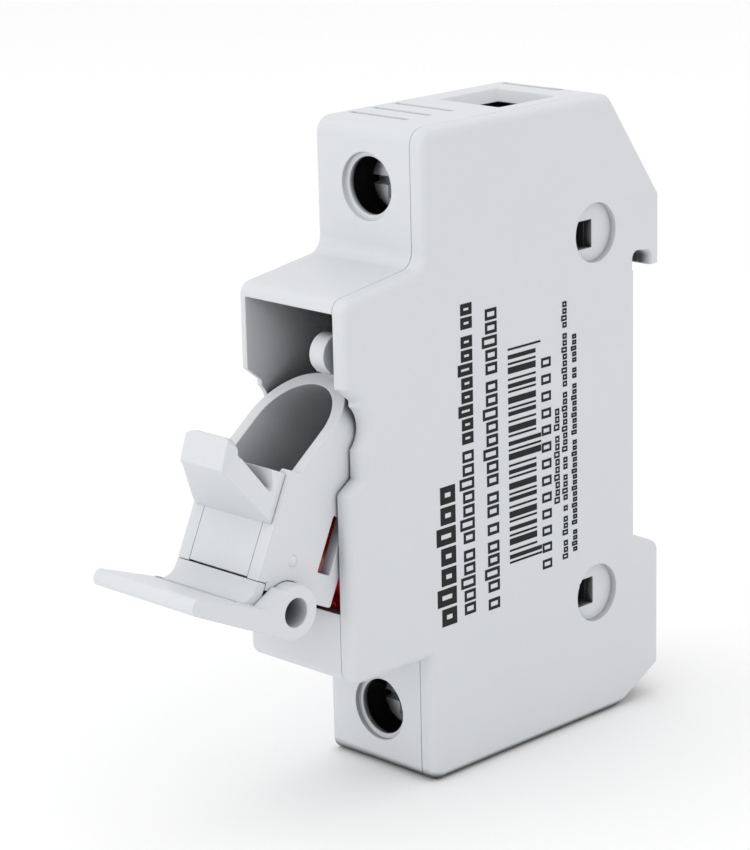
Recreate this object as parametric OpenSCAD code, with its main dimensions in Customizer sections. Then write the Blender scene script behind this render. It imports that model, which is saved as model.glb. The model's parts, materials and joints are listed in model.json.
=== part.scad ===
// Cartridge fuse holder, one pole, for a 10 x 38 mm fuse on a 35 mm DIN rail.
// Frame: X across the width, -Y is the front, +Y is the rail, +Z is up.
// Origin: centre of the face that sits on the rail. The carrier stands open.

/* [Housing] */
// Width of the module
body_w = 18; // [17.6:0.1:18.4]
// Height of the housing
body_h = 81.5; // [80:0.5:84]
// Height of the rail slot: a 35 mm rail with a little play
rail_slot = 35.3; // [35.1:0.1:35.5]
// Depth of the rail slot behind the seat
rail_depth = 4.8; // [4.4:0.1:5.2]
// Distance from the rail seat to the raised front
front_d = 51.6; // [51.2:0.1:52]
// Distance from the rail seat to the terminal fronts
terminal_d = 38.2; // [38:0.1:38.4]
// Wall thickness of the shells
wall = 1.5; // [1.4:0.1:1.6]

/* [Carrier] */
// Angle that the carrier swings open
open_angle = 65; // [60:1:66]
// Diameter of the fuse that the channel takes
fuse_d = 10.3; // [10.1:0.1:10.4]
// Length of the fuse
fuse_len = 38; // [37.5:0.5:38]
// Thickness of the carrier's side cheeks
cheek_t = 1.65; // [1.5:0.05:1.7]
// Diameter of the tie-bar hole in the handle
tie_bore_d = 3.5; // [3:0.1:3.6]

/* [Terminals] */
// Diameter of the clamp screw's thread
screw_d = 5; // [4.8:0.1:5.2]
// Travel of the clamp cage
cage_travel = 4; // [3:0.5:4]
// Diameter of the screwdriver access hole
access_d = 7.1; // [6.9:0.1:7.3]

/* [Hidden] */
$fn = 48;
arc_steps = 5;           // straight steps in one rounded corner
eps = 0.02;
fit = 0.05;              // radial play of a running fit

// Places across the width
x_left = -body_w / 2;
x_right = body_w / 2;
x_in = x_left + 1.1;     // inner face of the left wall
x_seam = 6.8;            // joint between base shell and cover
x_mid = -0.5;            // centre plane of the mechanism
cheek_out = 7.05;        // half width over the cheeks
cheek_in = cheek_out - cheek_t;

// Places up the height
half_h = body_h / 2;
slot_z = rail_slot / 2;
step_z = 24.4;           // where the raised front meets the terminal fronts
sill_z = -15.6;          // lower edge of the front opening
terminal_z = 33.1;       // height of the clamp screws above and below the centre
bay_top = 22.8;          // ceiling of the fuse bay
bay_bottom = -step_z + wall;

// Hinge axis, along X
hinge = [-40.7, -9.6];
trunnion_r = 2;

// The fuse when the carrier is closed
fuse_y = -31.4;
fuse_z = -0.7;
fuse_low = fuse_z - fuse_len / 2;
fuse_high = fuse_z + fuse_len / 2;
channel_r = fuse_d / 2 + 0.2;
arch_y = fuse_y + 0.8;   // centre of the arch behind the fuse

// Handle
handle_y = -55.05;       // outer face when closed
ear = [-51.75, 6.95];    // tie-bar axis when closed
ear_r = 3.3;
ear_x = 8.7;             // half width over the ears
web_z = 12.25;           // top of the web between the cheeks
web_t = 1.3;
lip_y = -34.55;          // reach of the wedge's lip over the fuse

// Terminals
bar_t = 1.2;             // thickness of the contact strip
bar_y = -21.6;           // front face of the strip in the clamp
bar_half = 3.6;
bar_end = 38.4;          // where the strip ends, above and below the centre
cage_half = 5.1;
head_t = 2.2;             // thickness of the clamp screw's head
head_y = -33.9;          // face of the clamp screw
cage_front = head_y + head_t + 0.2 + cage_travel;
cage_back = -9.3;
cage_z = [29, 37.4];
terminal_floor = 26.3;   // inner end of the terminal space
space_back = -7.9;       // its back wall
cage_wall = 1.2;
leaf_t = 0.9;            // thickness of the contact leaves
leaf_gap = fuse_d / 2 + 0.02;
wire_y = [-20.2, -9.7];  // wire entry in the end faces

// DIN latch
latch_half = 4;
latch_travel = 2.8;
latch_back = rail_depth - 0.3;
latch_low = -half_h + 0.55 + latch_travel;
nose_z = -slot_z + 1.25;   // tip of the nose that hooks behind the rail
nose_y = 1.5;             // room for the rail's lip in front of the nose
flange_w = 1.5;           // how far the flanges stand out beside the latch

// Blown-fuse indicator
board_y = -41.3;         // back face of its board
lens_r = [7.6, 8.8];     // round the hinge axis

// Side recesses for linking poles
link_y = -7.45;
link_z = 23.7;
link_r = 3.8;
link_square = 3.6;

WHITE = [0.87, 0.88, 0.90];
RED = [0.62, 0.05, 0.06, 0.8];
BRASS = [0.80, 0.70, 0.42];
STEEL = [0.72, 0.73, 0.75];

// ---------- helpers ----------

function unit(v) = v / norm(v);
function turned(v, a) = [v[0] * cos(a) - v[1] * sin(a), v[0] * sin(a) + v[1] * cos(a)];

// One corner c = [y, z, radius] between its neighbours a and b, as points of an arc
function corner(a, c, b) =
    let (p = [c[0], c[1]],
         u = unit([a[0], a[1]] - p),
         v = unit([b[0], b[1]] - p),
         half = acos(u * v) / 2,
         mid = p + unit(u + v) * c[2] / sin(half),
         from = p + u * c[2] / tan(half) - mid,
         to = p + v * c[2] / tan(half) - mid,
         sweep = (180 - 2 * half) * sign(cross(from, to)))
    c[2] == 0 ? [p] : [for (i = [0:arc_steps]) mid + turned(from, sweep * i / arc_steps)];

// A polygon whose corners [y, z, radius] are rounded
function rounded(c) =
    let (n = len(c))
    [for (i = [0:n - 1]) each corner(c[(i + n - 1) % n], c[i], c[(i + 1) % n])];

// Extrudes a shape drawn in Y and Z from x0 to x1
module across(x0, x1) {
    translate([x0, 0, 0]) rotate([90, 0, 90]) linear_extrude(x1 - x0) children();
}

// A box between two corners
module block(a, b) {
    translate(a) cube(b - a);
}

// A cylinder along Y from y0 to y1, centred on x, z
module along_y(x, z, y0, y1, r) {
    translate([x, y1, z]) rotate([90, 0, 0]) cylinder(h = y1 - y0, r = r);
}

// A disc in the Y-Z plane
module disc(at, r) {
    translate(at) circle(r);
}

// Repeats its children as drawn and mirrored below the centre
module both_ends() {
    children();
    mirror([0, 0, 1]) children();
}

// Turns what is drawn closed into the open rest pose
module opened() {
    translate([0, hinge[0], hinge[1]]) rotate([open_angle, 0, 0])
        translate([0, -hinge[0], -hinge[1]]) children();
}

// A helical spring along Z: coil radius, wire radius, length, turns
module coil_spring(coil_r, wire_r, length, turns) {
    steps = 14 * turns;
    sides = 8;
    rings = [for (i = [0:steps]) let (a = 360 * turns * i / steps, z = length * i / steps)
        [for (j = [0:sides - 1]) let (b = 360 * j / sides, r = coil_r + wire_r * cos(b))
            [r * cos(a), r * sin(a), z + wire_r * sin(b)]]];
    points = [for (ring = rings) each ring];
    walls = [for (i = [0:steps - 1]) for (j = [0:sides - 1]) let (k = (j + 1) % sides)
        [i * sides + j, (i + 1) * sides + j, (i + 1) * sides + k, i * sides + k]];
    first = [for (j = [0:sides - 1]) j];
    last = [for (j = [sides - 1:-1:0]) steps * sides + j];
    polyhedron(points, concat(walls, [first], [last]), convexity = 8);
}

// ---------- housing ----------

// Outline of both shells in Y and Z
module housing_outline() {
    notch_y = -front_d + 2.25;
    difference() {
        polygon(rounded([
            [-3.6, -half_h, 0.4], [rail_depth, -half_h + 4.25, 0.4],
            [rail_depth, -slot_z - 2.1, 1.6], [0, -slot_z, 0],
            [0, slot_z, 0], [-0.2, slot_z, 0], [-0.2, slot_z + 2.4, 0.9],
            [3.3, slot_z + 2, 0.9], [3.3, slot_z, 0.3], [rail_depth, slot_z, 0.3],
            [rail_depth, 26.9, 0.4], [-5, half_h, 0.4],
            [-terminal_d, half_h, 2], [-terminal_d, step_z, 2],
            [-front_d, step_z - 1.9, 1.6],
            [-front_d, 12.1, 0.4], [notch_y, 10.3, 0.4],
            [notch_y, 0.8, 0.4], [-front_d, -0.7, 0.4],
            [-front_d, -step_z, 1.6], [-terminal_d, -step_z, 0.8],
            [-terminal_d, -half_h, 1.6]
        ]));
        disc(ear, ear_r + 0.25);
    }
}

// The fuse bay, open to the front
module bay_outline() {
    polygon([
        [-front_d - 1, 20.9], [-front_d + wall, 21.1], [-terminal_d, bay_top],
        [-18.4, bay_top], [-18.4, bay_bottom], [-front_d + wall, bay_bottom],
        [-front_d + wall, sill_z], [-front_d - 1, sill_z]
    ]);
}

// Wire entry that widens outwards: half widths across and along the depth
module wire_funnel() {
    mid_y = (wire_y[0] + wire_y[1]) / 2;
    low = half_h - wall - eps;
    high = half_h + eps;
    intersection() {
        across(x_mid - 6, x_mid + 6) translate([mid_y, 0])
            polygon([[-4.4, low], [4.4, low], [5.3, high], [-5.3, high]]);
        translate([x_mid, mid_y + 6, 0]) rotate([90, 0, 0]) linear_extrude(12)
            polygon([[-3.9, low], [3.9, low], [5.1, high], [-5.1, high]]);
    }
}

// Terminal space, screw access and wire entry at the upper end
module terminal_space() {
    block([x_in, -terminal_d + wall, terminal_floor], [x_seam + eps, space_back, half_h - wall]);
    along_y(x_mid, terminal_z, -terminal_d - 1, -terminal_d + 4, access_d / 2);
    along_y(x_mid, terminal_z, -terminal_d - 1, -terminal_d + 0.7, access_d / 2 + 0.6);
    block([x_mid - bar_half - 0.4, bar_y - 0.4, bay_top - 1],
        [x_seam + eps, bar_y + bar_t + 0.4, 27]);
    wire_funnel();
}

// Hollow between the fuse bay and the rail seat
module middle_hollow() {
    translate([-16.9, -15.5]) square([15.4, 31]);
}

module link_recess(x0, x1) {
    across(x0, x1) disc([link_y, link_z], link_r);
}

module link_hole() {
    across(x_left - 1, x_right + 1) translate([link_y - link_square / 2 + 0.2, link_z - 0.2])
        square(link_square, center = true);
}

// Space for the latch and its flanges
module latch_space() {
    block([x_mid - latch_half - 0.25, -1.2, -half_h - 1],
        [x_mid + latch_half + 0.25, rail_depth + 1, nose_z + 0.2]);
    block([x_mid - latch_half - flange_w - 0.25, -3.5, -half_h - 1],
        [x_mid + latch_half + flange_w + 0.25, -0.9, -19]);
}

peg_places = [[-14.5, 20], [-14.5, -20], [-34, 24.6], [-34, -24.6]];

module base_shell() {
    color(WHITE) {
        difference() {
            across(x_left, x_seam) housing_outline();
            across(x_in, x_seam + eps) bay_outline();
            both_ends() terminal_space();
            across(x_in, x_seam + eps) middle_hollow();
            both_ends() link_recess(x_left - 1, x_left + 0.9);
            both_ends() link_hole();
            latch_space();
            for (y = [-33.3, -29.4, -25.5, -5.9])
                block([-7.8, y - 0.4, half_h - 0.35], [1.9, y + 0.4, half_h + 1]);
            for (p = peg_places) across(2.5, x_seam + eps) disc(p, 1 + fit);
            across(x_in - 0.55, x_in + eps) lead_path(0.8);
        }
        across(x_in - eps, x_mid - cheek_in - 0.15) disc(hinge, trunnion_r);
        block([x_mid - latch_half - 0.5, 0.6, -35], [x_mid + latch_half + 0.5, 3.1, -34]);
    }
}

module cover_shell() {
    color(WHITE) {
        difference() {
            across(x_seam, x_right) housing_outline();
            across(x_seam - eps, x_seam + 0.06) bay_outline();
            both_ends() block([x_seam - eps, -terminal_d + wall, terminal_floor],
                [x_seam + 0.8, space_back, half_h - wall]);
            across(x_seam - eps, x_seam + 0.8) middle_hollow();
            both_ends() link_recess(x_right - 0.9, x_right + 1);
            both_ends() link_hole();
        }
        across(x_mid + cheek_in + 0.15, x_seam + 0.5) disc(hinge, trunnion_r);
        for (p = peg_places) across(3, x_seam + 0.5) disc(p, 1);
    }
}

// ---------- carrier, handle and insert: drawn closed ----------

// Side cheek in Y and Z
module cheek_outline() {
    difference() {
        union() {
            polygon(rounded([
                [-49.4, web_z, 0], [-49.4, web_z - web_t - 0.05, 0], [-50.3, web_z - web_t - 0.05, 0],
                [-50.3, -0.65, 0.3], [-45, -0.65, 0.6],
                [-45, hinge[1] - 1, 0], [hinge[0] + 3.4, hinge[1] - 1, 0],
                [hinge[0] + 3.4, -8.4, 0.6], [fuse_y, -8.4, 0],
                [fuse_y, 7.95, 0], [-36.05, 10.45, 0.3], [-36.1, web_z, 0.3]
            ]));
            disc(hinge, 3.4);
        }
        disc(hinge, trunnion_r + fit);
        disc(ear, ear_r + 0.05);
        translate([-46.6, 1.05]) square([6.9, 2.1]);
        translate([-46, hinge[1] - 4]) square([2, 4.6]);
    }
}

// Round-backed channel seen from above
module channel_plan(r, half) {
    disc([x_mid, arch_y], r);
    translate([x_mid - half, -40]) square([2 * half, arch_y + 40]);
}

module fuse_channel() {
    rim = 10.6;
    difference() {
        translate([0, 0, -8.4]) linear_extrude(rim + 8.4) intersection() {
            channel_plan(cheek_out, cheek_out);
            translate([x_mid - cheek_out, -38]) square([2 * cheek_out, 40]);
        }
        translate([0, 0, -9]) linear_extrude(rim + 10) intersection() {
            channel_plan(channel_r + 0.05, channel_r + 0.05);
            translate([x_mid - 20, -36.75]) square([40, 40]);
        }
        across(x_mid - 10, x_mid + 10)
            polygon([[-36.3, rim], [-20, rim - 8.6], [-20, rim + 3], [-36.3, rim + 3]]);
        block([x_mid - cheek_in, -39, -9], [x_mid + cheek_in, -36.7, 0]);
        across(x_mid - 10, x_mid + 10) translate([-39, -9]) square([2.3, 9]);
    }
}

module fuse_carrier() {
    color(WHITE) opened() difference() {
        union() {
            for (x = [x_mid - cheek_out, x_mid + cheek_in])
                across(x, x + cheek_t) cheek_outline();
            fuse_channel();
            block([x_mid - cheek_out, -49.43, web_z - web_t], [x_mid + cheek_out, -36.75, web_z]);
            // lip and strap that carry the bottom of the fuse
            block([x_mid - 1.5, fuse_y + channel_r + 0.25, fuse_low - 1.5], [x_mid + 1.5, -24.8, -8]);
            block([x_mid - 1.5, -31, fuse_low - 1.5], [x_mid + 1.5, -24.8, fuse_low - 0.4]);
            // lug behind the right side of the channel
            across(2, 4.4) {
                disc([-21.4, 7.9], 2.4);
                polygon([[-25, 2], [-23.8, 8.2], [-20, 6], [-22.9, 2]]);
            }
            // nub on the right cheek that rubs on the cover
            translate([x_mid + cheek_out - 0.92, -46.1, 7.75]) sphere(r = 1.2, $fn = 32);
        }
        insert_seat(0.06);
        block([2.7, -38.2, 10.6], [4.2, -36.5, web_z + 1]);
        // room for the fuse
        translate([x_mid, fuse_y, -8.9]) cylinder(h = 30, r = channel_r);
    }
}

// Seat of the insert in the web
module insert_seat(play) {
    block([x_mid - 5 - play, -49.4 - play, web_z - 0.7 - play],
        [x_mid + 5 + play, -38.4 + play, web_z + 1]);
}

module carrier_insert() {
    color(WHITE) opened() difference() {
        union() {
            block([x_mid - 5, -49.25, web_z - 0.7], [x_mid + 5, -38.4, web_z]);
            // hooked wedge that narrows to a lip over the end of the fuse
            intersection() {
                across(x_mid - 6.5, x_mid + 6.5) polygon(rounded([
                    [-42.95, web_z - 0.3, 0], [-38.5, 19.5, 0.4], [lip_y, 19.95, 0.8],
                    [lip_y, fuse_high, 0], [-36.1, fuse_high - 0.2, 0], [-39.5, 13.2, 0.3],
                    [-36.6, 14.1, 0], [-36.6, web_z + eps, 0], [-38.4, web_z + eps, 0],
                    [-38.4, web_z - 0.3, 0]
                ]));
                translate([0, -30, 0]) rotate([90, 0, 0]) linear_extrude(20) polygon([
                    [x_mid - 5, web_z - 0.3], [x_mid - 5, web_z + eps], [x_mid - 6.5, web_z + eps],
                    [x_mid - 6.5, web_z + 0.8], [x_mid - 3.7, 18.9], [x_mid - 3.6, 20],
                    [x_mid + 3.6, 20], [x_mid + 3.7, 18.9], [x_mid + 6.5, web_z + 0.8],
                    [x_mid + 6.5, web_z + eps], [x_mid + 5, web_z + eps], [x_mid + 5, web_z - 0.3]
                ]);
                translate([x_mid, 0, web_z - 1]) linear_extrude(9) polygon(rounded([
                    [-7, -44, 0], [-7, -36.4, 0], [-4, -36.4, 0], [-4, lip_y, 1.7],
                    [4, lip_y, 1.7], [4, -36.4, 0], [7, -36.4, 0], [7, -44, 0]
                ]));
            }
        }
        translate([x_mid, fuse_y, 0]) cylinder(h = fuse_high + 0.15, r = channel_r);
    }
}

module handle_lever() {
    color(WHITE) opened() difference() {
        union() {
            // grip plate with its rounded tip, and the root shelf that meets the web
            across(-ear_x, ear_x) polygon(rounded([
                [handle_y, ear[1], 0], [handle_y, 23.4, 0.9], [-53.1, 23.2, 0.8],
                [-52.4, 14.4, 0], [-52.4, ear[1], 0]
            ]));
            across(x_mid - cheek_out, x_mid + cheek_out) polygon(rounded([
                [-53, web_z - web_t, 0], [-53, 16, 0], [-52.54, 16, 0],
                [-52.24, web_z, 2.4], [-49.45, web_z, 0], [-49.45, web_z - web_t, 0]
            ]));
            for (x = [[-ear_x, x_mid - cheek_out - 0.03], [x_mid + cheek_out + 0.03, ear_x]])
                across(x[0], x[1]) {
                    disc(ear, ear_r);
                    polygon([
                        [handle_y, ear[1]], [handle_y, 14.4], [-52.4, 14.4], [-52.25, 12.1],
                        [-49.6, 10.1], [-49.6, 9.2], ear
                    ]);
                }
            across(-ear_x + 1, ear_x - 1) disc(ear, ear_r);
            across(x_mid - cheek_out, x_mid + cheek_out) translate([handle_y, ear[1]]) square([2.7, 8]);
        }
        across(-ear_x - 1, ear_x + 1) disc(ear, tie_bore_d / 2);
    }
}

// Leaf in the channel's front wall that grips the fuse
module fuse_retaining_spring() {
    color(STEEL) opened() {
        across(3.1, 4.1) polygon([[-36.7, 10.5], [-36.35, 10.5], [-36.35, 6.6], [-35.15, 4.2],
            [-35.15, 3], [-36.35, 1.2], [-36.7, 1.2], [-35.5, 3.1], [-35.5, 4.1], [-36.7, 6.5]]);
    }
}

// ---------- current path ----------

// The two leaves of a contact, one on each side of the fuse, drawn in Y and Z
module both_leaves() {
    for (s = [-1, 1]) let (x = x_mid + s * (leaf_gap + leaf_t / 2))
        across(x - leaf_t / 2, x + leaf_t / 2) children();
}

// Contact at the upper end: plate behind the cap, two leaves beside it, strip to the clamp
module upper_fuse_contact() {
    plate_y = fuse_y + leaf_gap + 0.2;
    jaw_z = [9.8, fuse_high + 0.3];
    color(BRASS) {
        difference() {
            union() {
                block([x_mid - leaf_gap - leaf_t, plate_y, jaw_z[0]],
                    [x_mid + leaf_gap + leaf_t, plate_y + leaf_t, jaw_z[1]]);
                both_leaves() polygon(rounded([
                    [plate_y + leaf_t, jaw_z[0], 0], [plate_y + leaf_t, jaw_z[1], 0],
                    [fuse_y - 4.1, jaw_z[1], 1.5], [fuse_y - 4.1, jaw_z[0], 0]
                ]));
            }
            // arc that the channel's rim sweeps through
            across(x_mid - 8, x_mid + 8) disc(hinge, 24);
            // slot for the lug
            intersection() {
                across(1.6, 4.65) disc(hinge, 28.9);
                block([0, -35, 0], [5, -20, 20]);
            }
        }
        across(x_mid - bar_half, x_mid + bar_half) polygon([
            [plate_y, jaw_z[1] - 0.2], [plate_y, 19.6], [bar_y, 21.6], [bar_y, bar_end],
            [bar_y + bar_t, bar_end], [bar_y + bar_t, 20.8],
            [plate_y + leaf_t, 18.8], [plate_y + leaf_t, jaw_z[1] - 0.2]
        ]);
    }
}

// Contact at the lower end: plate under the cap, two leaves, strip to the clamp
module lower_fuse_contact() {
    base_z = fuse_low - 2.9;
    leaf_y = [fuse_y - 5, fuse_y + 5];
    color(BRASS) {
        block([x_mid - leaf_gap - leaf_t, leaf_y[0], base_z],
            [x_mid + leaf_gap + leaf_t, leaf_y[1], base_z + leaf_t]);
        both_leaves() polygon(rounded([
            [leaf_y[0], base_z, 0], [leaf_y[0], -11.4, 1.5],
            [leaf_y[1], -11.4, 1.5], [leaf_y[1], base_z, 0]
        ]));
        across(x_mid - bar_half, x_mid + bar_half) polygon([
            [leaf_y[1] - 0.5, base_z], [leaf_y[1] - 0.5, base_z + leaf_t],
            [bar_y + bar_t, base_z + leaf_t], [bar_y + bar_t, -bar_end], [bar_y, -bar_end],
            [bar_y, base_z]
        ]);
    }
}

// Steel clip outside the leaves; bridge_y is where it passes from side to side
module contact_clip(z0, z1, y0, y1, bridge_y) {
    reach = leaf_gap + leaf_t;
    t = 0.5;
    color(STEEL) {
        for (s = [-1, 1]) let (x = x_mid + s * (reach + t / 2 + 0.02))
            across(x - t / 2, x + t / 2) translate([y0, z0]) square([y1 - y0, z1 - z0]);
        block([x_mid - reach - t, bridge_y, z0], [x_mid + reach + t, bridge_y + t, z1]);
    }
}

module upper_contact_spring() {
    back = fuse_y + leaf_gap + 0.2 + leaf_t + 0.03;
    contact_clip(14.8, 17.4, -32.5, back + 0.5, back);
}

module lower_contact_spring() {
    front = fuse_y - 5.25 - 0.5;
    contact_clip(-19, -15, front, -29.5, front);
}

// Clamp cage at the upper end: a loop round the strip and the wire
module clamp_cage() {
    difference() {
        block([x_mid - cage_half, cage_front, cage_z[0]], [x_mid + cage_half, cage_back, cage_z[1]]);
        block([x_mid - cage_half + cage_wall, cage_front + 2, cage_z[0] - 1],
            [x_mid + cage_half - cage_wall, cage_back - cage_wall, cage_z[1] + 1]);
        along_y(x_mid, terminal_z, cage_front - 1, cage_front + 3, screw_d / 2);
    }
}

module upper_clamp_cage() {
    color(STEEL) clamp_cage();
}

module lower_clamp_cage() {
    color(STEEL) mirror([0, 0, 1]) clamp_cage();
}

// Clamp screw: cheese head with a combined cross and slot, plain shank
module clamp_screw(z) {
    slot = 1;
    depth = 1.3;
    color(STEEL) difference() {
        union() {
            along_y(x_mid, z, head_y, head_y + head_t, access_d / 2 - 0.2);
            along_y(x_mid, z, head_y + head_t - 0.1, bar_y - 0.05, screw_d / 2 - fit);
        }
        block([x_mid - 3, head_y - 1, z - slot / 2], [x_mid + 3, head_y + depth, z + slot / 2]);
        block([x_mid - slot / 2, head_y - 1, z - 1.9], [x_mid + slot / 2, head_y + depth, z + 1.9]);
    }
}

module upper_clamp_screw() {
    clamp_screw(terminal_z);
}

module lower_clamp_screw() {
    clamp_screw(-terminal_z);
}

// ---------- DIN latch ----------

module din_latch() {
    color(WHITE) difference() {
        union() {
            across(x_mid - latch_half, x_mid + latch_half) polygon([
                [-1, latch_low], [3.6, latch_low], [latch_back, latch_low + 0.8],
                [latch_back, nose_z - 2], [3.6, nose_z], [nose_y, nose_z], [nose_y, nose_z - 2],
                [-1, nose_z - 2]
            ]);
            block([x_mid - latch_half - flange_w, -3.2, latch_low],
                [x_mid + latch_half + flange_w, -1, -22.5]);
        }
        // window for the spring and the bar that holds it
        block([x_mid - latch_half - 1, 0.3, -35.3], [x_mid + latch_half + 1, 3.4, -27.4]);
        // slot for a screwdriver, and a notch in the left flange
        block([x_mid - 2, 1.2, latch_low - 1], [x_mid + 2, 2.6, latch_low + 1.2]);
        block([x_mid - latch_half - flange_w - 0.1, -4, latch_low - 1],
            [x_mid - latch_half + 0.2, 0.1, latch_low + 3.4]);
    }
}

module din_latch_spring() {
    color(STEEL) translate([x_mid, 1.85, -33.75]) coil_spring(1.15, 0.22, 6.1, 6);
}

// ---------- blown-fuse indicator ----------

module indicator_lens() {
    color(RED) difference() {
        union() {
            across(x_mid - 4.9, x_mid + 4.9) difference() {
                disc(hinge, lens_r[1]);
                disc(hinge, lens_r[0]);
                translate([hinge[0] - 6.4, -30]) square([30, 60]);
            }
            block([x_in + 0.2, -49.9, -22.6], [x_seam - 0.2, -48.8, sill_z - 0.4]);
            block([x_mid - 4.9, -49.9, sill_z - 0.5], [x_mid + 4.9, -46.9, sill_z + 0.6]);
        }
        across(x_mid - 6, x_mid + 6) disc(hinge, lens_r[0]);
    }
}

module indicator_board() {
    color("darkgreen") {
        block([x_mid - 4.9, board_y - 1, -17.5], [x_mid + 4.9, board_y, -5.4]);
        block([x_in + 0.1, board_y - 1, -22.8], [x_seam - 0.2, board_y, -16]);
    }
}

module indicator_led() {
    color([0.8, 0.1, 0.1, 0.7]) {
        along_y(x_mid, hinge[1], -45, board_y - 1, 1.5);
        intersection() {
            translate([x_mid, -45, hinge[1]]) sphere(r = 1.5);
            along_y(x_mid, hinge[1], -47, -44.9, 1.5);
        }
    }
}

module indicator_resistor() {
    at = [board_y - 2, -13.6];
    color("tan") {
        across(x_mid - 2.6, x_mid + 2.6) disc(at, 0.9);
        across(x_mid - 4.2, x_mid + 4.2) disc(at, 0.25);
    }
}

// Route of the upper lead along the left wall
module lead_path(w) {
    route = [[-41.7, -15], [-35.6, -13.4], [-35.6, 5], [-34.2, 16]];
    for (i = [0:2])
        let (a = route[i], b = route[i + 1], d = unit(b - a) * w / 2, n = [-d[1], d[0]])
            polygon([a + n - d, b + n + d, b - n + d, a - n - d]);
}

module indicator_upper_lead() {
    color(STEEL) {
        across(x_in - 0.5, x_in - 0.1) lead_path(0.6);
        block([x_in - 0.5, -42, -15.3], [x_mid - 4.95, -41.4, -14.7]);
        block([x_in - 0.5, -34.5, 15.7], [x_mid - leaf_gap - leaf_t - 0.02, -33.9, 16.3]);
    }
}

module indicator_lower_lead() {
    color(STEEL) across(x_mid - 0.6, x_mid + 0.6) polygon([
        [board_y + 0.02, -19], [board_y + 0.02, -19.4], [-37.2, -22.6], [fuse_y - 5.02, -22.6],
        [fuse_y - 5.02, -22.2], [-37, -22.2], [-40.9, -19]
    ]);
}

base_shell();
cover_shell();
fuse_carrier();
handle_lever();
carrier_insert();
fuse_retaining_spring();
upper_fuse_contact();
lower_fuse_contact();
upper_contact_spring();
lower_contact_spring();
upper_clamp_cage();
lower_clamp_cage();
upper_clamp_screw();
lower_clamp_screw();
din_latch();
din_latch_spring();
indicator_lens();
indicator_board();
indicator_led();
indicator_resistor();
indicator_upper_lead();
indicator_lower_lead();
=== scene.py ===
"""Cartridge fuse holder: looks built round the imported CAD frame. Lengths are in metres."""
import json
import math
from contextlib import contextmanager

import bmesh
import bpy
from mathutils import Matrix, Vector
from mathutils.geometry import delaunay_2d_cdt


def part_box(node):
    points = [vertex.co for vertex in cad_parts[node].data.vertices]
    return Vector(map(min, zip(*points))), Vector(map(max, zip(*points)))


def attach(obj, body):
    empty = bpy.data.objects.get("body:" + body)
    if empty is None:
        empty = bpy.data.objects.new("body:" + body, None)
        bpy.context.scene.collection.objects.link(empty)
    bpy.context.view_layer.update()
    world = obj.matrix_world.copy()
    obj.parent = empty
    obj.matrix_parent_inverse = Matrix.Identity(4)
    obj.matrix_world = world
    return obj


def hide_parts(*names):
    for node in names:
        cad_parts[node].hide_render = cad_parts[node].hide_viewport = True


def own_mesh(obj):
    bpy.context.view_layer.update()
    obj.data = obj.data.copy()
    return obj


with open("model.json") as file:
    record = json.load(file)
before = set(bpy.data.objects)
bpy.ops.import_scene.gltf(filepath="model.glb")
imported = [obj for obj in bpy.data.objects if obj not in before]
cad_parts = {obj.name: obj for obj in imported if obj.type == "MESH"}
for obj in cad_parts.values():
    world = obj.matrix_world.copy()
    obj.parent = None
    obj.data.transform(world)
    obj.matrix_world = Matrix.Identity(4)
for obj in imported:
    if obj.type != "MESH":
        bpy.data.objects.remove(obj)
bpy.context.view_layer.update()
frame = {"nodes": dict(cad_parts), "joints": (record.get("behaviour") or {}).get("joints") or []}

MM = 0.001
JOINTS = {joint["name"]: joint for joint in frame["joints"]}

# ---------------------------------------------------------------- places from the frame

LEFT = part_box("base_shell")[0].x
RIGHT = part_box("cover_shell")[1].x
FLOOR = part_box("base_shell")[0].z
HINGE = Vector(JOINTS["carrier_swing"]["pos_m"])
# Behind this plane the shells' outer rims are rounded less
BACK_EDGE = -5.5 * MM
# The flat front of the open carrier: its normal, its distance from the hinge and its half width
OPEN_ANGLE = math.radians(65)
PLATE_NORMAL = Vector((0, -math.sin(OPEN_ANGLE), math.cos(OPEN_ANGLE)))
PLATE_HEIGHT = 21.85 * MM
PLATE_HALF = 7.4 * MM
# How far a point may lie from a plane and still count as on it
NEAR = 0.02 * MM
# CAD points closer than this are one point, and CAD faces that bend less than this are one face
SAME_POINT = 0.5e-6
SAME_PLANE = math.radians(0.5)
# Edges that bend more than this are rounded
SHARP_EDGE = math.radians(25)
# Sides whose directions cross by less than this share one line, and by less than the second are parallel
STRAIGHT = 0.003
PARALLEL = 1e-6
# A face whose triangles miss its area by more than this share is cut into triangles anew
AREA_SLACK = 0.001

# ---------------------------------------------------------------- small tools


@contextmanager
def opened(mesh, keep=True):
    """A mesh opened for editing, written back at the end if keep is set."""
    bm = bmesh.new()
    bm.from_mesh(mesh)
    yield bm
    if keep:
        bm.to_mesh(mesh)
    bm.free()


def link(obj):
    bpy.context.scene.collection.objects.link(obj)
    return obj


def mesh_object(name, verts, faces):
    mesh = bpy.data.meshes.new(name)
    mesh.from_pydata([tuple(v) for v in verts], [], faces)
    mesh.update()
    with opened(mesh) as bm:
        bmesh.ops.recalc_face_normals(bm, faces=bm.faces)
    return link(bpy.data.objects.new(name, mesh))


def cad_copy(node, name):
    """A copy of a CAD node's mesh with its flat faces joined."""
    piece = link(bpy.data.objects.new(name, frame["nodes"][node].data.copy()))
    with opened(piece.data) as bm:
        bmesh.ops.remove_doubles(bm, verts=bm.verts, dist=SAME_POINT)
        bmesh.ops.dissolve_limit(bm, angle_limit=SAME_PLANE, verts=bm.verts, edges=bm.edges)
    return piece


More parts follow.
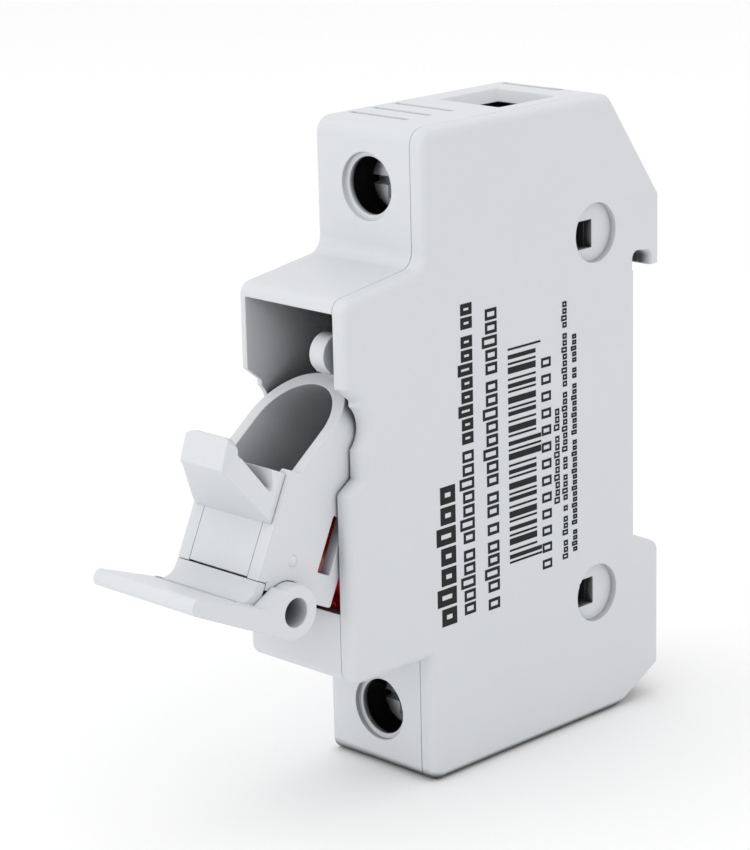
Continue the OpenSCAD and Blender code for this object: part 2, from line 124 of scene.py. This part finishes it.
def modify(obj, kind, **settings):
    """Adds a modifier with these settings and applies it."""
    modifier = obj.modifiers.new(kind.lower(), kind)
    for key, value in settings.items():
        setattr(modifier, key, value)
    bpy.context.view_layer.update()
    depsgraph = bpy.context.evaluated_depsgraph_get()
    mesh = bpy.data.meshes.new_from_object(obj.evaluated_get(depsgraph))
    obj.modifiers.clear()
    obj.data = mesh


def cut(obj, cutter):
    """Takes cutter away from obj and removes cutter."""
    modify(obj, "BOOLEAN", operation="DIFFERENCE", solver="EXACT", object=cutter)
    bpy.data.objects.remove(cutter)


def smooth(obj, angle=30):
    """Smooth shading that keeps edges sharper than angle."""
    with opened(obj.data) as bm:
        for face in bm.faces:
            face.smooth = True
        for edge in bm.edges:
            edge.smooth = edge.calc_face_angle(0) < math.radians(angle)


def finish_piece(obj, material, body, slot, *nodes):
    obj.data.materials.clear()
    obj.data.materials.append(material)
    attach(obj, body)
    if nodes:
        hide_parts(*nodes)


# ---------------------------------------------------------------- materials


def fill(node, inputs):
    for name, value in inputs.items():
        node.inputs[name].default_value = value


def add(tree, kind, inputs=None, **settings):
    """Adds a shader node with its settings and the values of its inputs."""
    node = tree.nodes.new(kind)
    for key, value in settings.items():
        setattr(node, key, value)
    fill(node, inputs or {})
    return node


def new_material(name, **inputs):
    """A material whose shader has these inputs, with underscores for spaces."""
    material = bpy.data.materials.new(name)
    material.use_nodes = True
    tree = material.node_tree
    shader = tree.nodes["Principled BSDF"]
    fill(shader, {key.replace("_", " "): value for key, value in inputs.items()})
    return material, tree, shader


def noise(tree, scale, detail=2, stretch=None):
    """Noise in the object's own coordinates, scaled by stretch along each axis if it is given."""
    place = add(tree, "ShaderNodeTexCoord").outputs["Object"]
    if stretch:
        scaled = add(tree, "ShaderNodeMapping", {"Scale": stretch})
        tree.links.new(place, scaled.inputs["Vector"])
        place = scaled.outputs["Vector"]
    texture = add(tree, "ShaderNodeTexNoise", {"Scale": scale, "Detail": detail})
    tree.links.new(place, texture.inputs["Vector"])
    return texture.outputs["Fac"]


def tint(tree, lead, low, high):
    """A colour between low and high."""
    mix = add(tree, "ShaderNodeMix", {"A": (*low, 1), "B": (*high, 1)}, data_type="RGBA")
    tree.links.new(lead, mix.inputs["Factor"])
    return mix.outputs["Result"]


def spread(tree, lead, **limits):
    """A value taken from one range to another."""
    scale = add(tree, "ShaderNodeMapRange", {key.replace("_", " "): value for key, value in limits.items()})
    tree.links.new(lead, scale.inputs["Value"])
    return scale.outputs["Result"]


def moulded_plastic(name, colour, roughness=0.42, shade=(0.28, 0.46, 0.05)):
    """White moulded plastic with faint flow marks, a fine spark texture, soft edges and painted shade: its
    colour is darkened in hollows by ambient occlusion.

    shade is how open a place is where the painted shade is darkest, how open where it no longer darkens the
    colour, and the brightness left at the darkest.
    """
    material, tree, shader = new_material(
        name, Specular_IOR_Level=0.4, Subsurface_Weight=0.08, Subsurface_Radius=(0.0012, 0.0010, 0.0009),
        Subsurface_Scale=1.0)
    links = tree.links
    flow = noise(tree, 60, detail=3)
    colours = tint(tree, flow, [0.97 * c for c in colour], colour)
    # Painted shade: ambient occlusion within 16 mm darkens the base colour in hollows, creases and between
    # parts
    occlusion_for_painted_shade = add(tree, "ShaderNodeAmbientOcclusion", {"Distance": 16 * MM}, samples=12)
    links.new(colours, occlusion_for_painted_shade.inputs["Color"])
    depth = spread(tree, occlusion_for_painted_shade.outputs["AO"], From_Min=shade[0], From_Max=shade[1], To_Min=shade[2])
    colour_with_painted_shade = add(tree, "ShaderNodeMix", {"Factor": 1.0}, data_type="RGBA", blend_type="MULTIPLY")
    links.new(colours, colour_with_painted_shade.inputs["A"])
    links.new(depth, colour_with_painted_shade.inputs["B"])
    links.new(colour_with_painted_shade.outputs["Result"], shader.inputs["Base Color"])
    gloss = spread(tree, flow, To_Min=roughness - 0.05, To_Max=roughness + 0.07)
    links.new(gloss, shader.inputs["Roughness"])
    bump = add(tree, "ShaderNodeBump", {"Strength": 0.12, "Distance": 0.02 * MM})
    links.new(noise(tree, 6000), bump.inputs["Height"])
    soft = add(tree, "ShaderNodeBevel", {"Radius": 0.15 * MM}, samples=4)
    links.new(soft.outputs["Normal"], bump.inputs["Normal"])
    links.new(bump.outputs["Normal"], shader.inputs["Normal"])
    return material


def metal(name, colour, roughness, stretch=None):
    """Plated metal with faint drawing marks."""
    material, tree, shader = new_material(name, Metallic=1.0)
    marks = noise(tree, 900, detail=4, stretch=stretch)
    tree.links.new(tint(tree, marks, [0.82 * c for c in colour], colour), shader.inputs["Base Color"])
    gloss = spread(tree, marks, To_Min=roughness - 0.08, To_Max=roughness + 0.12)
    tree.links.new(gloss, shader.inputs["Roughness"])
    return material


def tinted_lens(name, colour):
    """Clear red plastic with a faint haze."""
    material, tree, shader = new_material(name, Roughness=0.18, Transmission_Weight=0.35, IOR=1.49)
    red, green, blue = colour
    hazy = (red * 0.75, green * 0.6, blue * 0.6)
    tree.links.new(tint(tree, noise(tree, 400), colour, hazy), shader.inputs["Base Color"])
    return material


def speckled(name, colour, dark, scale, roughness, gloss=0.5):
    """Opaque body with a speckle between two colours."""
    material, tree, shader = new_material(name, Roughness=roughness, Specular_IOR_Level=gloss)
    tree.links.new(tint(tree, noise(tree, scale), dark, colour), shader.inputs["Base Color"])
    return material


# All three plastics carry painted shade in their hollows; the carrier's is milder at its darkest and fades
# in over a wider range
SHELL = moulded_plastic("shell_white", (0.64, 0.655, 0.68))
CARRIER = moulded_plastic("carrier_white", (0.65, 0.665, 0.69), roughness=0.38, shade=(0.0, 0.45, 0.16))
LATCH = moulded_plastic("latch_white", (0.62, 0.635, 0.66), roughness=0.45)
CONTACT = metal("tinned_contact", (0.74, 0.72, 0.66), 0.32, (1, 1, 0.2))
SPRING = metal("spring_steel", (0.56, 0.57, 0.59), 0.25, (1, 0.2, 1))
ZINC = metal("zinc_plate", (0.92, 0.94, 0.97), 0.34)
LENS = tinted_lens("lens_red", (0.95, 0.018, 0.03))
LED = tinted_lens("led_red", (0.75, 0.02, 0.02))
BOARD = speckled("board_green", (0.03, 0.16, 0.07), (0.02, 0.10, 0.05), 700, 0.4)
RESISTOR = speckled("resistor_tan", (0.62, 0.46, 0.28), (0.50, 0.36, 0.20), 900, 0.3)
BAND_DARK = speckled("band_brown", (0.10, 0.045, 0.02), (0.08, 0.035, 0.015), 900, 0.3)
BAND_RED = speckled("band_red", (0.45, 0.03, 0.02), (0.38, 0.02, 0.015), 900, 0.3)
BAND_GOLD = speckled("band_gold", (0.55, 0.38, 0.10), (0.45, 0.30, 0.08), 900, 0.25)
INK = speckled("print_black", (0.010, 0.010, 0.011), (0.016, 0.016, 0.017), 1200, 0.5, gloss=0.15)

# ---------------------------------------------------------------- camera, light and floor

# The photograph's view: where the camera stands, its angles in degrees and its lens
CAMERA_AT = Vector((243.303, -279.778, 98.905)) * MM
CAMERA_AZIMUTH, CAMERA_ELEVATION, CAMERA_ROLL = 45.2014, 15.5158, -1.3923
CAMERA_LENS = 123.88
CAMERA_CLIP = 10 * MM
FLOOR_HALF = 4.0
# What the lights aim at, and each one's place, side and power
AIM = Vector((0, -0.02, 0))
LIGHTS = {
    "key": ((-0.25, -0.55, 0.75), 0.6, 1.0),
    "fill": ((0.7, -0.45, 0.35), 0.8, 0.1),
    "top": ((0.1, 0.1, 0.9), 0.8, 0.6),
    "front": ((-0.36, -0.93, -0.06), 0.25, 1.8),
}


def make_camera():
    data = bpy.data.cameras.new("camera")
    data.lens = CAMERA_LENS
    data.clip_start = CAMERA_CLIP
    camera = link(bpy.data.objects.new("camera", data))
    azimuth, elevation, roll = (math.radians(v) for v in (CAMERA_AZIMUTH, CAMERA_ELEVATION, CAMERA_ROLL))
    level = math.cos(elevation)
    back = Vector((math.sin(azimuth) * level, -math.cos(azimuth) * level, math.sin(elevation)))
    right = Vector((0, 0, 1)).cross(back).normalized()
    up = back.cross(right)
    sine, cosine = math.sin(roll), math.cos(roll)
    right, up = cosine * right + sine * up, cosine * up - sine * right
    turn = Matrix((right, up, back)).transposed().to_4x4()
    camera.matrix_world = Matrix.Translation(CAMERA_AT) @ turn
    bpy.context.scene.camera = camera


def area_light(name, at, side, power):
    data = bpy.data.lights.new(name, "AREA")
    data.shape = "RECTANGLE"
    data.size = data.size_y = side
    data.energy = power
    lamp = link(bpy.data.objects.new(name, data))
    lamp.location = at
    lamp.rotation_euler = (AIM - Vector(at)).to_track_quat("-Z", "Y").to_euler()


def make_studio():
    material, _, _ = new_material(
        "floor_white", Base_Color=(0.93, 0.93, 0.93, 1), Roughness=0.7, Specular_IOR_Level=0.1)
    corners = [(x * FLOOR_HALF, y * FLOOR_HALF, FLOOR) for x, y in ((-1, -1), (1, -1), (1, 1), (-1, 1))]
    floor = mesh_object("floor", corners, [(0, 1, 2, 3)])
    floor.data.materials.append(material)
    world = bpy.data.worlds.new("studio")
    bpy.context.scene.world = world
    world.use_nodes = True
    fill(world.node_tree.nodes["Background"], {"Color": (1.0, 1.0, 1.0, 1), "Strength": 1.0})
    for name, (at, side, power) in LIGHTS.items():
        area_light(name, at, side, power)
    bpy.context.scene.view_settings.view_transform = "Standard"


make_camera()
make_studio()

# ---------------------------------------------------------------- moulded pieces


def soften(piece, width, segments, skip):
    """Rounds the sharp edges of a piece, apart from those that skip picks."""
    with opened(piece.data) as bm:
        weight = bm.edges.layers.float.new("bevel_weight_edge")
        for edge in bm.edges:
            if len(edge.link_faces) == 2 and edge.calc_face_angle(0) > SHARP_EDGE:
                edge[weight] = 0.0 if skip and skip(edge) else 1.0
    modify(piece, "BEVEL", width=width * MM, segments=segments, limit_method="WEIGHT",
           use_clamp_overlap=False, miter_outer="MITER_ARC")


def outline_at(node, x):
    """The outer loop, in Y and Z, of a CAD node's flat face at x."""
    with opened(frame["nodes"][node].data, keep=False) as bm:
        bmesh.ops.remove_doubles(bm, verts=bm.verts, dist=SAME_POINT)
        flat = {f for f in bm.faces if all(abs(v.co.x - x) < NEAR / 2 for v in f.verts)}
        after = {}
        for edge in bm.edges:
            if len([f for f in edge.link_faces if f in flat]) == 1:
                for p, q in (edge.verts, reversed(edge.verts)):
                    after.setdefault(p.index, []).append(q.index)
        bm.verts.ensure_lookup_table()
        start = min(after, key=lambda i: bm.verts[i].co.y)
        loop, last = [start], None
        while True:
            step = [i for i in after[loop[-1]] if i != last][0]
            last = loop[-1]
            if step == start:
                break
            loop.append(step)
        points = [bm.verts[i].co.yz for i in loop]
    area = sum(p.cross(q) for p, q in zip(points, points[1:] + points[:1]))
    return points if area > 0 else points[::-1]


def without_straight_points(points):
    """Drops points that lie on a straight line between their neighbours."""
    kept = []
    for before, p, after in zip(points[-1:] + points[:-1], points, points[1:] + points[:1]):
        if abs((p - before).normalized().cross((after - p).normalized())) > STRAIGHT:
            kept.append(p)
    return kept


class Inset:
    """A closed outline whose sides move inwards, each by its own share, and drop out where they vanish."""

    def __init__(self, points, shares):
        self.count = len(points)
        self.points, self.shares = points, shares
        self.along = [(q - p).normalized() for p, q in zip(points, points[1:] + points[:1])]
        self.inward = [Vector((-t.y, t.x)) for t in self.along]
        self.place = [n.dot(p) for n, p in zip(self.inward, points)]
        self.active = list(range(self.count))

    def meeting(self, i, j, moved):
        """Where sides i and j meet once they have moved."""
        a, b = self.inward[i], self.inward[j]
        c, d = self.place[i] + self.shares[i] * moved, self.place[j] + self.shares[j] * moved
        cross = a.cross(b)
        if abs(cross) < PARALLEL:
            return self.points[j] + b * (self.shares[j] * moved)
        return Vector(((c * b.y - d * a.y) / cross, (d * a.x - c * b.x) / cross))

    def ring(self, moved):
        """The outline after its sides have moved this far, with one point for each point at the start."""
        while True:
            sides = self.active
            ends = {j: self.meeting(sides[k - 1], j, moved) for k, j in enumerate(sides)}
            gone = [
                j for k, j in enumerate(sides)
                if (ends[sides[(k + 1) % len(sides)]] - ends[j]).dot(self.along[j]) < 0
            ]
            if not gone:
                break
            worst = min(gone, key=lambda j: (self.points[(j + 1) % self.count] - self.points[j]).length)
            self.active = [j for j in sides if j != worst]
        return [ends[next((k for k in sides if k >= j), sides[0])] for j in range(self.count)]


def round_rim(piece, node, x, radius, back_share):
    """Rounds the outer perimeter of a shell's flat side at x."""
    steps = 6
    outside = 0.6 * MM
    least = 0.003 * MM
    way = math.copysign(1, x)
    points = without_straight_points(outline_at(node, x))
    count = len(points)
    sides = zip(points, points[1:] + points[:1])
    shares = [back_share if (p.x + q.x) / 2 > BACK_EDGE else 1.0 for p, q in sides]
    inner, outer = Inset(points, shares), Inset(points, shares)
    rings = [(x - way * radius, outer.ring(-outside))]
    for k in range(steps + 1):
        turn = math.pi / 2 * k / steps
        moved = max(radius * (1 - math.cos(turn)), least)
        rings.append((x - way * radius * (1 - math.sin(turn)), inner.ring(moved)))
    rings += [(x + way * outside, rings[-1][1]), (x + way * outside, rings[0][1])]
    verts = [(at, p.x, p.y) for at, ring in rings for p in ring]
    faces = []
    for k in range(len(rings)):
        here, there = k * count, (k + 1) % len(rings) * count
        for j in range(count):
            i = (j + 1) % count
            faces.append((here + j, here + i, there + i, there + j))
    cutter = mesh_object("rim_cutter", verts, faces)
    with opened(cutter.data) as bm:
        bmesh.ops.remove_doubles(bm, verts=bm.verts, dist=1e-7)
        bmesh.ops.dissolve_degenerate(bm, edges=bm.edges, dist=1e-7)
        bmesh.ops.recalc_face_normals(bm, faces=bm.faces)
    cut(piece, cutter)


def near_side(x, depth):
    """Picks the edges that lie within depth of a shell's side at x."""
    return lambda edge: all(abs(v.co.x - x) < depth + NEAR for v in edge.verts)


def on_front_plate(edge):
    """True for the edges that meet in the flat front of the open carrier, where the joints are tight."""
    return all(abs(PLATE_NORMAL.dot(v.co - HINGE) - PLATE_HEIGHT) < NEAR and abs(v.co.x) < PLATE_HALF
               for v in edge.verts)


def inside(point, outline):
    """True if a point lies within a closed outline."""
    crossings = sum(
        (p.y > point.y) != (q.y > point.y)
        and point.x < p.x + (point.y - p.y) / (q.y - p.y) * (q.x - p.x)
        for p, q in zip(outline, outline[1:] + outline[:1])
    )
    return crossings % 2 == 1


def triangulate_bent_faces(piece):
    """Splits flat faces whose own triangles would overlap into triangles that do not."""
    with opened(piece.data) as bm:
        covered = {}
        for loops in bm.calc_loop_triangles():
            a, b, c = (loop.vert.co for loop in loops)
            index = loops[0].face.index
            covered[index] = covered.get(index, 0) + (b - a).cross(c - a).length / 2
        areas = {f: f.calc_area() for f in bm.faces}
        bent = [f for f, area in areas.items() if abs(covered[f.index] - area) > AREA_SLACK * area]
        for face in bent:
            corners = list(face.verts)
            sides = [e.verts[1].co - e.verts[0].co for e in face.edges]
            across = max(sides, key=lambda side: side.length).normalized()
            up = face.normal.cross(across)
            start = corners[0].co.copy()
            flat = [Vector(((v.co - start).dot(across), (v.co - start).dot(up))) / MM for v in corners]
            count = len(corners)
            rim = [(k, (k + 1) % count) for k in range(count)]
            points, _, triangles, source, _, _ = delaunay_2d_cdt(flat, rim, [], 0, 1e-5)
            verts = [
                corners[source[k][0]] if source[k] else bm.verts.new(start + (across * p.x + up * p.y) * MM)
                for k, p in enumerate(points)
            ]
            for triangle in triangles:
                centre = sum((points[k] for k in triangle), Vector((0, 0))) / 3
                chosen = [verts[k] for k in triangle]
                if inside(centre, flat) and len(set(chosen)) == 3 and not bm.faces.get(chosen):
                    made = bm.faces.new(chosen)
                    made.normal_update()
                    if made.normal.dot(face.normal) < 0:
                        made.normal_flip()
            bm.faces.remove(face)


def moulded(node, body, slot, material, width, segments=2, rim=None, skip=None):
    """A CAD node with rounded edges. rim is a shell's side, the radius of its rim and the back's share."""
    piece = cad_copy(node, node + "_moulded")
    if rim:
        side, radius, back_share = rim
        round_rim(piece, node, side, radius * MM, back_share)
        skip = near_side(side, radius * MM)
    soften(piece, width, segments, skip)
    triangulate_bent_faces(piece)
    smooth(piece)
    modify(piece, "WEIGHTED_NORMAL", keep_sharp=True)
    finish_piece(piece, material, body, slot, node)


moulded("base_shell", "housing", "shell_plastic", SHELL, 0.12, rim=(LEFT, 0.5, 0.5))
moulded("cover_shell", "housing", "shell_plastic", SHELL, 0.12, rim=(RIGHT, 1.2, 0.2))
moulded("fuse_carrier", "carrier", "carrier_plastic", CARRIER, 0.15, skip=on_front_plate)
moulded("handle_lever", "carrier", "carrier_plastic", CARRIER, 0.18, skip=on_front_plate)
moulded("carrier_insert", "carrier", "carrier_plastic", CARRIER, 0.12, skip=on_front_plate)
moulded("din_latch", "latch", "latch_plastic", LATCH, 0.2)
moulded("upper_fuse_contact", "housing", "contact_metal", CONTACT, 0.08)
moulded("lower_fuse_contact", "housing", "contact_metal", CONTACT, 0.08)
moulded("upper_contact_spring", "housing", "spring_steel", SPRING, 0.06)
moulded("lower_contact_spring", "housing", "spring_steel", SPRING, 0.06)
moulded("upper_clamp_cage", "upper_cage", "zinc_steel", ZINC, 0.15)
moulded("lower_clamp_cage", "lower_cage", "zinc_steel", ZINC, 0.15)
moulded("indicator_lens", "housing", "lens_red", LENS, 0.1)

# ---------------------------------------------------------------- print on the right side

# Lines of boxes: from and to across the line, from and to along it, each word's number of boxes
# and its line's share, the line's width and the gap between boxes
PRINT_LINES = (
    (-37.1, -33.7, -20.8, -3.0, ((7, 1.0),), 0.82, 0.36),
    (-32.9, -30.3, -20.3, 19.0, ((5, 0.9), (7, 0.9), (8, 1.25), (2, 1.25)), 0.46, 0.26),
    (-28.6, -25.9, -20.8, 17.6, ((1, 1), (4, 1), (1, 1), (2, 1), (8, 1), (5, 1)), 0.42, 0.26),
)
# Small lines: from across the line, from and to along it, and each word's number of boxes
SMALL_LINES = (
    (-15.6, -9.9, 2.5, (9, 3)),
    (-14.1, -17.6, 16.0, (3, 3, 1, 4, 2, 9, 8, 4)),
    (-12.3, -17.0, 11.5, (4, 15, 9, 2, 5)),
)
SMALL_HEIGHT, SMALL_LINE, SMALL_GAP = 1.05, 0.27, 0.14
# Bars: from and to along the row, their front edge, the back edge of the short and the long ones
BARS_FROM, BARS_TO, BARS_FRONT, BARS_SHORT, BARS_LONG = -15.7, 12.0, -24.0, -18.9, -18.0
BAR_WIDTHS = (0.28, 0.56, 0.28, 0.84)
BAR_GAPS = (0.3, 0.42, 0.56)
LONG_BARS = (0, 1, 15, 16, 17, 33, 34)
LONG_FROM = 11.3
# A row of single boxes beside the bars
BOX_COUNT, BOX_FROM, BOX_STEP, BOX_LENGTH, BOX_LINE = 13, -18.0, 2.19, 1.25, 0.36
BOX_FRONT, BOX_BACK = -17.9, -16.1


class Print:
    """Flat ink shapes on the cover's face, in millimetres: y across the lines, z along them."""

    def __init__(self):
        self.verts, self.faces = [], []

    def bar(self, y0, y1, z0, z1):
        base = len(self.verts)
        for x in (RIGHT + 0.001 * MM, RIGHT + 0.018 * MM):
            self.verts += [(x, y * MM, z * MM) for y, z in ((y0, z0), (y1, z0), (y1, z1), (y0, z1))]
        for quad in ((4, 5, 6, 7), (0, 1, 5, 4), (1, 2, 6, 5), (2, 3, 7, 6), (3, 0, 4, 7)):
            self.faces.append(tuple(base + i for i in quad))

    def frame(self, y0, y1, z0, z1, line):
        self.bar(y0, y0 + line, z0, z1)
        self.bar(y1 - line, y1, z0, z1)
        self.bar(y0 + line, y1 - line, z0, z0 + line)
        self.bar(y0 + line, y1 - line, z1 - line, z1)

    def words(self, y0, y1, z0, z1, words, line, gap):
        """A line of empty boxes in place of letters, some of them lower than the rest."""
        space = 1.4 * gap + 0.5
        boxes = sum(n for n, _ in words)
        gaps = (boxes - len(words)) * gap + (len(words) - 1) * space
        size = (z1 - z0 - gaps) / boxes
        z = z0
        for n, share in words:
            for k in range(n):
                low = y0 + (0.22 * (y1 - y0) if (k * 5 + n) % 3 else 0)
                self.frame(low, y1, z, z + size, line * share)
                z += size + gap
            z += space - gap


def side_print():
    ink = Print()
    for line in PRINT_LINES:
        ink.words(*line)
    z, k = BARS_FROM, 0
    while z < BARS_TO:
        width = BAR_WIDTHS[k % len(BAR_WIDTHS)]
        long = k in LONG_BARS or z > LONG_FROM
        ink.bar(BARS_FRONT, BARS_LONG if long else BARS_SHORT, z, z + width)
        z += width + BAR_GAPS[k % len(BAR_GAPS)]
        k += 1
    for k in range(BOX_COUNT):
        z = BOX_FROM + BOX_STEP * k
        ink.frame(BOX_FRONT, BOX_BACK, z, z + BOX_LENGTH, BOX_LINE)
    for y, z0, z1, words in SMALL_LINES:
        ink.words(y, y + SMALL_HEIGHT, z0, z1, [(n, 1) for n in words], SMALL_LINE, SMALL_GAP)
    piece = mesh_object("side_print", ink.verts, ink.faces)
    finish_piece(piece, INK, "housing", "shell_plastic")


side_print()

# ---------------------------------------------------------------- screws, latch spring and indicator


def middle(node):
    low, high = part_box(node)
    return (low + high) / 2, low, high


def tube_faces(rings, sides):
    """The faces of a closed tube of rings of points."""
    faces = []
    for m in range(rings - 1):
        for k in range(sides):
            i = (k + 1) % sides
            faces.append((m * sides + k, m * sides + i, (m + 1) * sides + i, (m + 1) * sides + k))
    faces.append(tuple(range(sides)))
    faces.append(tuple((rings - 1) * sides + k for k in reversed(range(sides))))
    return faces


def turned_piece(name, centre, axis, rings, sides=48, shape=None):
    """A closed body of revolution: rings are (distance along axis, radius) from one end to the other."""
    across = Vector((0, 0, 1)) if abs(axis.z) < 0.5 else Vector((1, 0, 0))
    other = axis.cross(across)
    verts = []
    for along, radius in rings:
        for k in range(sides):
            turn = 2 * math.pi * k / sides
            r = shape(along, radius, turn) if shape else radius
            verts.append(centre + axis * along + (across * math.cos(turn) + other * math.sin(turn)) * r)
    return mesh_object(name, verts, tube_faces(len(rings), sides))


def slanted_box(name, centre, half_x, half_z, front, deep, taper):
    """A cutter that narrows by taper on every side as it goes in along Y."""
    verts = []
    for y, less in ((front, 0.0), (deep, taper)):
        for x, z in ((-1, -1), (1, -1), (1, 1), (-1, 1)):
            verts.append((centre.x + x * (half_x - less), y, centre.z + z * (half_z - less)))
    faces = [(0, 1, 2, 3), (7, 6, 5, 4), (0, 4, 5, 1), (1, 5, 6, 2), (2, 6, 7, 3), (3, 7, 4, 0)]
    return mesh_object(name, verts, faces)


def clamp_screw(node, body):
    """Cheese head with a rounded rim, a slot with a cross, and a threaded shank."""
    centre, low, high = middle(node)
    centre.y = 0
    front, end = low.y, high.y
    head_r, head_t = (high.x - low.x) / 2, 2.2 * MM
    rim_r, rim_t, chamfer = 0.42 * MM, 0.4 * MM, 0.2 * MM
    shank_r, pitch, depth = 2.43 * MM, 0.8 * MM, 0.42 * MM
    tip = 0.1 * MM
    rings = [(front, head_r * 0.5), (front + 0.02 * MM, head_r - rim_r)]
    rings += [(front + rim_t * (1 - math.cos(a)), head_r - rim_r * (1 - math.sin(a)))
              for a in (0.35, 0.75, 1.15, math.pi / 2)]
    rings += [(front + head_t - chamfer, head_r), (front + head_t, head_r - chamfer)]
    start = front + head_t + 0.01 * MM
    steps = int((end - start) / pitch * 10)
    rings += [(start + (end - tip - start) * k / steps, shank_r) for k in range(steps + 1)]
    rings.append((end, shank_r - depth - tip))

    def thread(along, radius, turn):
        if radius != shank_r:
            return radius
        wave = abs(((along / pitch + turn / (2 * math.pi)) % 1) * 2 - 1)
        return shank_r - depth * wave

    screw = turned_piece(node + "_turned", centre, Vector((0, 1, 0)), rings, shape=thread)
    outside = front - 0.3 * MM
    cut(screw, slanted_box("slot", centre, 4.5 * MM, 0.56 * MM, outside, front + 1.3 * MM, 0.1 * MM))
    cut(screw, slanted_box("cross", centre, 0.62 * MM, 2.15 * MM, outside, front + 1.25 * MM, 0.22 * MM))
    smooth(screw, 35)
    finish_piece(screw, ZINC, body, "zinc_steel", node)


def wire(name, points, radius, sides=10):
    """A closed round wire along points."""
    verts = []
    last = len(points) - 1
    side = Vector((0.3, 0.8, 0.5))
    for k, p in enumerate(points):
        ahead = (points[min(k + 1, last)] - points[max(k - 1, 0)]).normalized()
        side = side.cross(ahead).cross(ahead).normalized() * -1
        other = ahead.cross(side)
        for j in range(sides):
            turn = 2 * math.pi * j / sides
            verts.append(p + (side * math.cos(turn) + other * math.sin(turn)) * radius)
    return mesh_object(name, verts, tube_faces(len(points), sides))


def latch_spring():
    """Coil that the latch squeezes against the bar in the base, with its end turns closed."""
    centre, low, high = middle("din_latch_spring")
    gauge, turns, per_turn, closed = 0.22 * MM, 6, 24, 0.75
    coil = (high.x - low.x) / 2 - gauge
    bottom, top = low.z + gauge, high.z - gauge
    points = []
    for k in range(turns * per_turn + 1):
        share = k / (turns * per_turn)
        turn = 2 * math.pi * turns * share
        risen = min(max((share * turns - closed) / (turns - 2 * closed), 0), 1)
        z = bottom + gauge * (share - risen) * turns + (top - bottom) * risen
        points.append(Vector((
            centre.x + coil * math.cos(turn), centre.y + coil * math.sin(turn), min(max(z, bottom), top))))
    spring = wire("latch_spring_wire", points, gauge)
    smooth(spring, 50)
    finish_piece(spring, SPRING, "housing", "spring_steel", "din_latch_spring")
    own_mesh(spring)


def indicator_lamp():
    """Round lamp with a dome and a rim at its foot."""
    centre, low, high = middle("indicator_led")
    r = (high.x - low.x) / 2
    body_r, dome, length = r * 0.88, r * 0.9, high.y - low.y
    rings = [(0, r), (0.55 * MM, r), (0.6 * MM, body_r), (length - dome, body_r)]
    rings += [(length - dome * (1 - math.sin(a)), body_r * math.cos(a)) for a in (0.3, 0.6, 0.9, 1.2, 1.5)]
    foot = Vector((centre.x, high.y, centre.z))
    lamp = turned_piece("indicator_lamp", foot, Vector((0, -1, 0)), rings, sides=36)
    smooth(lamp, 40)
    finish_piece(lamp, LED, "housing", "led_red", "indicator_led")


# The resistor's profile from the middle of one end: distance from the body's end and radius
RESISTOR_BODY, RESISTOR_LEAD = 2.6 * MM, 0.25 * MM
RESISTOR_PROFILE = ((0, 0.5), (0.25, 0.828), (0.6, 0.9), (1.0, 0.873), (1.35, 0.774))
# Where each of its bands starts, and their width
BANDS = ((-1.95, BAND_DARK), (-0.95, BAND_RED), (-0.2, BAND_DARK), (1.6, BAND_GOLD))
BAND_WIDTH = 0.32


def resistor():
    """Body with swollen ends, four bands and its two wires."""
    centre, low, high = middle("indicator_resistor")
    half = (high.x - low.x) / 2
    profile = [(-half, RESISTOR_LEAD), (-RESISTOR_BODY - 0.02 * MM, RESISTOR_LEAD)]
    profile += [(-RESISTOR_BODY + x * MM, r * MM) for x, r in RESISTOR_PROFILE]
    rings = profile + [(-x, r) for x, r in reversed(profile)]
    cuts = sorted(x for at, _ in BANDS for x in (at * MM, (at + BAND_WIDTH) * MM))
    rings = [ring for ring in rings if not any(abs(ring[0] - c) < 0.05 * MM for c in cuts)]

    def radius_at(x):
        for (a, ra), (b, rb) in zip(rings, rings[1:]):
            if a <= x <= b:
                return ra + (rb - ra) * (x - a) / (b - a)

    rings = sorted(rings + [(c, radius_at(c)) for c in cuts])
    piece = turned_piece("resistor", centre, Vector((1, 0, 0)), rings, sides=32)
    finish_piece(piece, RESISTOR, "housing", "resistor_body", "indicator_resistor")
    for material in (BAND_DARK, BAND_RED, BAND_GOLD, SPRING):
        piece.data.materials.append(material)
    slots = {m.name: k for k, m in enumerate(piece.data.materials)}
    for face in piece.data.polygons:
        at = face.center.x - centre.x
        if abs(at) > RESISTOR_BODY:
            face.material_index = slots[SPRING.name]
        for start, material in BANDS:
            if start * MM < at < (start + BAND_WIDTH) * MM:
                face.material_index = slots[material.name]
    smooth(piece, 40)


clamp_screw("upper_clamp_screw", "upper_screw")
clamp_screw("lower_clamp_screw", "lower_screw")
latch_spring()
indicator_lamp()
resistor()
moulded("indicator_board", "housing", "circuit_board", BOARD, 0.06, segments=1)
moulded("indicator_upper_lead", "housing", "spring_steel", SPRING, 0.05, segments=1)
moulded("indicator_lower_lead", "housing", "spring_steel", SPRING, 0.05, segments=1)
moulded("fuse_retaining_spring", "carrier", "spring_steel", SPRING, 0.04, segments=1)
